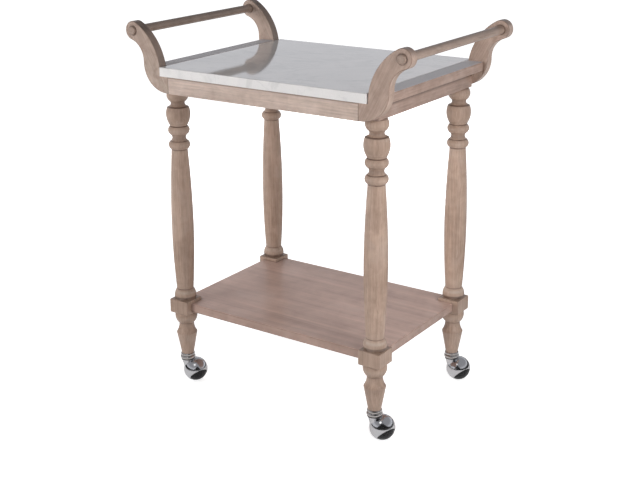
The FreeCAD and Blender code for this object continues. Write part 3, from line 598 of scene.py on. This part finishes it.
def dress_cart():
    """Gives every piece its finish, with the grain along the piece."""
    rail = limed_wood("limed_wood_rail", along_length, RAIL_WOOD, glaze_and_shade=rail_joint_and_shadow)
    apron = limed_wood("limed_wood_apron", along_width, END_WOOD, glaze_and_shade=apron_shadow)
    ledge = limed_wood("limed_wood_ledge", along_width, END_WOOD, grey=ledge_top)
    bar = limed_wood("limed_wood_bar", along_width, BAR_WOOD, glaze_and_shade=bar_top_shade)
    arm = limed_wood("limed_wood_arm", along_arm, ARM_WOOD, glaze_and_shade=arm_glaze_and_shade, pale_wear_and_light=arm_painted_light)
    turned = limed_wood("limed_wood_turned", upright, LEG_WOOD,
                        glaze_and_shade=turning_glaze_and_shade, pale_wear_and_light=turning_wear_and_highlight)
    shelf = limed_wood("limed_wood_shelf", along_shelf, SHELF_WOOD,
                       glaze_and_shade=shelf_glaze_and_shade, calm=SHELF_CALM)
    bare_long = bare_wood("bare_wood_lengthwise", along_length)
    bare_wide = bare_wood("bare_wood_crosswise", along_width)
    hood = chrome_plate("chrome_plate", CHROME, HOOD_DULLNESS)
    collar = chrome_plate("collar_plate", COLLAR, COLLAR_DULLNESS)
    marble, zinc, black = polished_marble(), zinc_plate(), black_tread()
    endings = {
        "_scroll_arm": arm, "_end_board": ledge, "_end_apron": apron, "_handle_bar": bar,
        "_rail": rail, "_leg": turned, "lower_shelf": shelf, "marble_top": marble,
        "_corner_block": bare_long, "center_batten": bare_wide, "_dowels": bare_long,
        "_caster_hood": hood, "_caster_socket": collar, "_caster_wheel": black,
        "_caster_stem": zinc, "_caster_axle": zinc, "leg_hanger_bolts": zinc,
        "leg_thread_inserts": zinc,
    }
    for name, piece in nodes.items():
        material = next(finish for ending, finish in endings.items() if name.endswith(ending))
        for slot in piece.material_slots:
            slot.material = material
    return zinc


# Screws through the glue blocks under the frame

# Radius of a head and of its flat top, its height and its slots, in metres, and the mesh's sides
SCREW_RADIUS, SCREW_TOP, SCREW_HEIGHT = 0.0042, 0.0026, 0.0021
SLOT_WIDTH, SLOT_LENGTH, SLOT_DEPTH = 0.0011, 0.0046, 0.0014
SCREW_SIDES, SCREW_RINGS = 24, 3
# Half the way between a block's two screws, and how deep they sit
SCREW_SPREAD, SCREW_SINK = 0.011, 0.0002
# Width of a glue block's two ends, which sets how far its slanted face lies from the middle of
# its box
BLOCK_NOSE = 0.008


def screw_tree(material):
    """Node tree that sets a cross-slotted screw head on every point, turned to its facing."""
    tree = bpy.data.node_groups.new("screw_heads", "GeometryNodeTree")
    tree.interface.new_socket("Geometry", in_out="INPUT", socket_type="NodeSocketGeometry")
    sizes = {"Head Radius": SCREW_RADIUS, "Head Height": SCREW_HEIGHT, "Slot Width": SLOT_WIDTH,
             "Slot Length": SLOT_LENGTH, "Slot Depth": SLOT_DEPTH}
    for name, amount in sizes.items():
        socket = tree.interface.new_socket(name, in_out="INPUT", socket_type="NodeSocketFloat")
        socket.default_value = amount
    tree.interface.new_socket("Geometry", in_out="OUTPUT", socket_type="NodeSocketGeometry")

    def add(kind, settings=None, inputs=None):
        made = tree.nodes.new(kind)
        for name, setting in (settings or {}).items():
            setattr(made, name, setting)
        for name, amount in (inputs or {}).items():
            if isinstance(amount, bpy.types.NodeSocket):
                tree.links.new(amount, made.inputs[name])
            else:
                made.inputs[name].default_value = amount
        return made

    def vector(**parts):
        return add("ShaderNodeCombineXYZ", None, parts).outputs[0]

    given = add("NodeGroupInput").outputs
    head = add("GeometryNodeMeshCone", {"fill_type": "NGON"}, {
        "Vertices": SCREW_SIDES, "Side Segments": SCREW_RINGS,
        "Radius Bottom": given["Head Radius"], "Radius Top": SCREW_TOP,
        "Depth": given["Head Height"]})
    cut = add("GeometryNodeMeshBoolean", {"operation": "DIFFERENCE", "solver": "EXACT"},
              {"Mesh 1": head.outputs["Mesh"]})
    for along in ("X", "Y"):
        sides = {"X": given["Slot Width"], "Y": given["Slot Width"], "Z": given["Slot Depth"]}
        sides[along] = given["Slot Length"]
        block = add("GeometryNodeMeshCube", None, {"Size": vector(**sides)})
        raised = add("GeometryNodeTransform", None, {
            "Geometry": block.outputs["Mesh"], "Translation": vector(Z=given["Head Height"])})
        tree.links.new(raised.outputs[0], cut.inputs["Mesh 2"])
    facing = add("GeometryNodeInputNamedAttribute", {"data_type": "FLOAT_VECTOR"},
                 {"Name": "facing"})
    turn = add("FunctionNodeAlignRotationToVector", {"axis": "Z"},
               {"Vector": facing.outputs["Attribute"]})
    spread = add("GeometryNodeInstanceOnPoints", None, {
        "Points": given["Geometry"], "Instance": cut.outputs["Mesh"],
        "Rotation": turn.outputs["Rotation"]})
    real = add("GeometryNodeRealizeInstances", None, {"Geometry": spread.outputs["Instances"]})
    painted = add("GeometryNodeSetMaterial", None, {
        "Geometry": real.outputs["Geometry"], "Material": material})
    tree.links.new(painted.outputs["Geometry"], add("NodeGroupOutput").inputs["Geometry"])
    return tree


def block_screws(material):
    """Two screws through the slanted face of each glue block."""
    spots, directions = [], []
    for corner, (side_x, side_y) in CORNERS.items():
        low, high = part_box(f"{corner}_corner_block")
        middle = (low + high) / 2
        facing = Vector((-side_x, -side_y, 0)).normalized()
        across = Vector((-side_y, side_x, 0)).normalized()
        face = middle + facing * (BLOCK_NOSE / math.sqrt(2) - SCREW_SINK)
        for step in (-SCREW_SPREAD, SCREW_SPREAD):
            spots.append(face + across * step)
            directions.append(facing)
    mesh = bpy.data.meshes.new("block_screw_points")
    mesh.from_pydata(spots, [], [])
    attribute = mesh.attributes.new("facing", "FLOAT_VECTOR", "POINT")
    attribute.data.foreach_set("vector", [part for way in directions for part in way])
    carrier = bpy.data.objects.new("block_screw_points", mesh)
    bpy.context.scene.collection.objects.link(carrier)
    carrier.modifiers.new("screws", "NODES").node_group = screw_tree(material)
    evaluated = carrier.evaluated_get(bpy.context.evaluated_depsgraph_get())
    screws = bpy.data.objects.new("block_screws", bpy.data.meshes.new_from_object(evaluated))
    bpy.data.objects.remove(carrier)
    bpy.context.scene.collection.objects.link(screws)
    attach(screws, "cart")


# The camera: focal length and middle of the lens in pixels of a 640 by 480 frame, its turn, the
# dip and roll of its view, and its place

IMAGE_WIDTH, IMAGE_HEIGHT = 640, 480
FOCAL, MIDDLE = 1147.032, (298.786, 185.714)
AZIMUTH, PITCH, ROLL = (math.radians(angle) for angle in (35.152, 16.414, -0.632))
CAMERA_PLACE = (1.397504, -2.062314, 1.213056)
SENSOR = 36.0

# Studio: floor, cards, world and lamps

AIM = Vector((0, 0, 0.42))
FLOOR_HALF = 30.0
FLOOR_GREY = 0.82
# The floor's own glow near the cart and far from it, the distances between which it grows, and
# the share of it that polish shows
GLOW_NEAR, GLOW_FAR, GLOW_FROM, GLOW_TO = 0.70, 1.0, 0.3, 2.2
FLOOR_SHINE = 0.35
# Dark card that stands round the cart, for the chrome alone: its distance, its height on the
# camera's side and elsewhere, the turn of its highest place from the camera to the right, how
# narrow that place is, its sides and its grey
CARD_AWAY, CARD_HIGH, CARD_LOW = 0.8, 0.75, 0.16
CARD_TURN, CARD_NARROW, CARD_SIDES, CARD_GREY = math.radians(5), 14, 48, 0.03
# Light card that polish shows in place of the lamps: its middle, half its width and its glow
GLOW_PLACE, GLOW_HALF, CARD_GLOW = Vector((0.22, -1.27, 1.95)), 0.5, 4.0
# Colour of the surroundings to the eye and as light
SKY_WHITE, SKY_COOL = (1.0, 1.0, 1.0), (0.90, 0.91, 0.96)
# Strength of the surroundings as light, the share of it that is left overhead as light and in
# polish, and the heights between which they dim, as sines of the angle above level
FILL, OVERHEAD, DARK_OVERHEAD = 0.30, 0.62, 0.40
DIM_FROM, DIM_TO = 0.15, 0.6
# Soft boxes, which polish doesn't show: place, width and power
SOFT_BOXES = {
    "left_box": ((-3.0, -4.1, 1.25), 2.2, 140),
    "right_box": ((1.35, -0.4, 0.8), 0.9, 12.0),
    "rim_box": ((-2.6, 0.4, 1.0), 1.4, 24),
    "back_box": ((-1.7, 2.3, 1.1), 1.6, 24),
}


def sight(finish):
    """1 for rays from the camera, and 1 for those that metal, polish and glass send on, else 0."""
    camera, glossy, through = (
        finish.node("ShaderNodeLightPath", output=f"Is {rays} Ray")
        for rays in ("Camera", "Glossy", "Transmission"))
    return camera, glossy.larger(through)


def stage_sheet(name, corners, faces, material):
    """Thin sheet of the studio."""
    mesh = bpy.data.meshes.new(name)
    mesh.from_pydata(corners, [], faces)
    mesh.materials.append(material)
    sheet = bpy.data.objects.new(name, mesh)
    bpy.context.scene.collection.objects.link(sheet)
    return sheet


def polish_only(sheet):
    """Hides a sheet from all rays but those of polished surfaces."""
    for rays in ("camera", "diffuse", "transmission", "shadow", "volume_scatter"):
        setattr(sheet, f"visible_{rays}", False)


def flat_paint(finish, grey):
    """Plain matt grey."""
    return finish.node("ShaderNodeBsdfDiffuse", inputs={"Color": (grey, grey, grey, 1.0)})


def studio_floor():
    """Pale floor that reads white where nothing shades it, and keeps the cart's shadow."""
    finish = Finish.named("studio_floor")
    away = length(*finish.place()[:2])
    camera, polish = sight(finish)
    glow = GLOW_NEAR + away.rise(GLOW_FROM, GLOW_TO) * (GLOW_FAR - GLOW_NEAR)
    lit = finish.node("ShaderNodeEmission", inputs={
        "Strength": glow * camera.larger(polish * FLOOR_SHINE)})
    finish.close("ShaderNodeOutputMaterial", finish.node("ShaderNodeAddShader", inputs={
        0: flat_paint(finish, FLOOR_GREY), 1: lit}))
    half = FLOOR_HALF
    corners = [(-half, -half, 0), (half, -half, 0), (half, half, 0), (-half, half, 0)]
    stage_sheet("studio_floor", corners, [(0, 1, 2, 3)], finish.owner)


def dark_card():
    """Ring of dark card, highest towards the camera, which only polished surfaces show."""
    finish = Finish.named("dark_card")
    finish.close("ShaderNodeOutputMaterial", flat_paint(finish, CARD_GREY))
    low, high, faces = [], [], []
    for side in range(CARD_SIDES):
        turn = math.tau * side / CARD_SIDES
        way = Vector((math.cos(turn), math.sin(turn), 0)) * CARD_AWAY
        front = max(0.0, math.cos(turn - (AZIMUTH - math.pi / 2 + CARD_TURN)))
        top = CARD_LOW + (CARD_HIGH - CARD_LOW) * front ** CARD_NARROW
        low.append(way)
        high.append(way + Vector((0, 0, top)))
        after = (side + 1) % CARD_SIDES
        faces.append((side, after, after + CARD_SIDES, side + CARD_SIDES))
    polish_only(stage_sheet("dark_card", low + high, faces, finish.owner))


def light_card():
    """Small white card above the camera's left, fading to its edge, which only polished surfaces
    show."""
    finish = Finish.named("light_card")
    away = length(*(part - middle for part, middle in zip(finish.place(), GLOW_PLACE)))
    finish.close("ShaderNodeOutputMaterial", finish.node("ShaderNodeEmission", inputs={
        "Strength": away.fall(0.0, GLOW_HALF) * CARD_GLOW}))
    turn = (AIM - GLOW_PLACE).to_track_quat("-Z", "Y")
    corners = [GLOW_PLACE + turn @ Vector((x, y, 0)) * GLOW_HALF
               for x, y in ((-1, -1), (1, -1), (1, 1), (-1, 1))]
    polish_only(stage_sheet("light_card", corners, [(0, 1, 2, 3)], finish.owner))


def studio_world():
    """White surroundings, full white to the eye, softer as light on the cart and dim overhead."""
    world = bpy.data.worlds.new("studio_white")
    bpy.context.scene.world = world
    finish = Finish(world)
    camera, polish = sight(finish)
    way = finish.parts(finish.node("ShaderNodeTexCoord", output="Generated"))
    above = way[2].rise(DIM_FROM, DIM_TO)
    light = FILL * (1 - above * (1 - OVERHEAD))
    level = light.larger(polish * (1 - above * (1 - DARK_OVERHEAD)))
    sky = finish.node("ShaderNodeBackground", inputs={
        "Color": finish.mix(camera, SKY_COOL, SKY_WHITE), "Strength": camera.larger(level)})
    finish.close("ShaderNodeOutputWorld", sky)


def soft_boxes():
    """Large soft lamps at both sides of the cart, a little above the slab, and weaker ones at its
    left and behind."""
    for name, (place, width, power) in SOFT_BOXES.items():
        lamp = bpy.data.lights.new(name, "AREA")
        lamp.shape, lamp.size, lamp.energy = "SQUARE", width, power
        light = bpy.data.objects.new(name, lamp)
        light.location = place
        light.rotation_euler = (AIM - light.location).to_track_quat("-Z", "Y").to_euler()
        light.visible_camera = light.visible_glossy = False
        bpy.context.scene.collection.objects.link(light)


def photo_camera():
    lens = bpy.data.cameras.new("photo_camera")
    lens.sensor_width = SENSOR
    lens.lens = FOCAL * SENSOR / IMAGE_WIDTH
    lens.shift_x = (IMAGE_WIDTH / 2 - MIDDLE[0]) / IMAGE_WIDTH
    lens.shift_y = (MIDDLE[1] - IMAGE_HEIGHT / 2) / IMAGE_WIDTH
    lens.clip_end = 4 * FLOOR_HALF
    level = math.cos(PITCH)
    ahead = Vector((-math.sin(AZIMUTH) * level, math.cos(AZIMUTH) * level, -math.sin(PITCH)))
    right = Vector((math.cos(AZIMUTH), math.sin(AZIMUTH), 0))
    above = right.cross(ahead)
    right, above = (math.cos(ROLL) * right + math.sin(ROLL) * above,
                    math.cos(ROLL) * above - math.sin(ROLL) * right)
    turn = Matrix((right, above, -ahead)).transposed()
    camera = bpy.data.objects.new("photo_camera", lens)
    camera.matrix_world = Matrix.Translation(CAMERA_PLACE) @ turn.to_4x4()
    bpy.context.scene.collection.objects.link(camera)
    bpy.context.scene.camera = camera


zinc = dress_cart()
block_screws(zinc)
studio_floor()
dark_card()
light_card()
studio_world()
soft_boxes()
photo_camera()
bpy.context.scene.view_settings.view_transform = "Standard"
